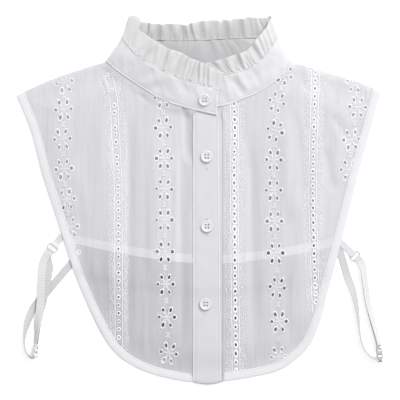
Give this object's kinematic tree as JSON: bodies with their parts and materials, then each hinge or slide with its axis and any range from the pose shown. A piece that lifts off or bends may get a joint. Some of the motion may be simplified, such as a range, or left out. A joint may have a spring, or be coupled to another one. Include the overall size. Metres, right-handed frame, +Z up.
{
  "type": "detachable collar",
  "caption": "Buttoned false collar of sheer embroidered cotton, laid flat, with a ruffled stand band and adjustable side straps.",
  "frame": {"origin": "on the surface it lies on, under the middle of the collar without its straps", "axes": "+Z up out of the garment's front, +Y towards the neck, +X towards the picture's right (the wearer's left)"},
  "size_m": [0.3664, 0.3674, 0.021],
  "materials": {
    "sheer_cotton": "thin white cotton lawn, embroidered in white",
    "plain_poplin": "plain white cotton poplin, folded double",
    "button_plastic": "white, softly polished",
    "elastic": "white woven elastic with fine cross ribs",
    "strap_fittings": "white coated, smooth"
  },
  "bodies": {
    "root": {"back_panel": "sheer_cotton", "front_left": "sheer_cotton", "front_right": "sheer_cotton", "binding_front_left": "plain_poplin", "binding_front_right": "plain_poplin", "binding_back_left": "plain_poplin", "binding_back_right": "plain_poplin", "binding_back_hem": "plain_poplin", "placket": "plain_poplin", "placket_under": "plain_poplin", "band_front_left": "plain_poplin", "band_back": "plain_poplin", "band_front_right": "plain_poplin", "ruffle_front_left": "plain_poplin", "ruffle_back": "plain_poplin", "ruffle_front_right": "plain_poplin", "button_1": "button_plastic", "button_2": "button_plastic", "button_3": "button_plastic", "button_4": "button_plastic", "tab_left": "elastic", "tab_right": "elastic", "strap_over_left": "elastic", "strap_under_left": "elastic", "strap_return_left": "elastic", "strap_over_right": "elastic", "strap_under_right": "elastic", "strap_return_right": "elastic", "ring_left": "strap_fittings", "ring_right": "strap_fittings", "slider_left": "strap_fittings", "slider_right": "strap_fittings"}
  },
  "joints": []
}
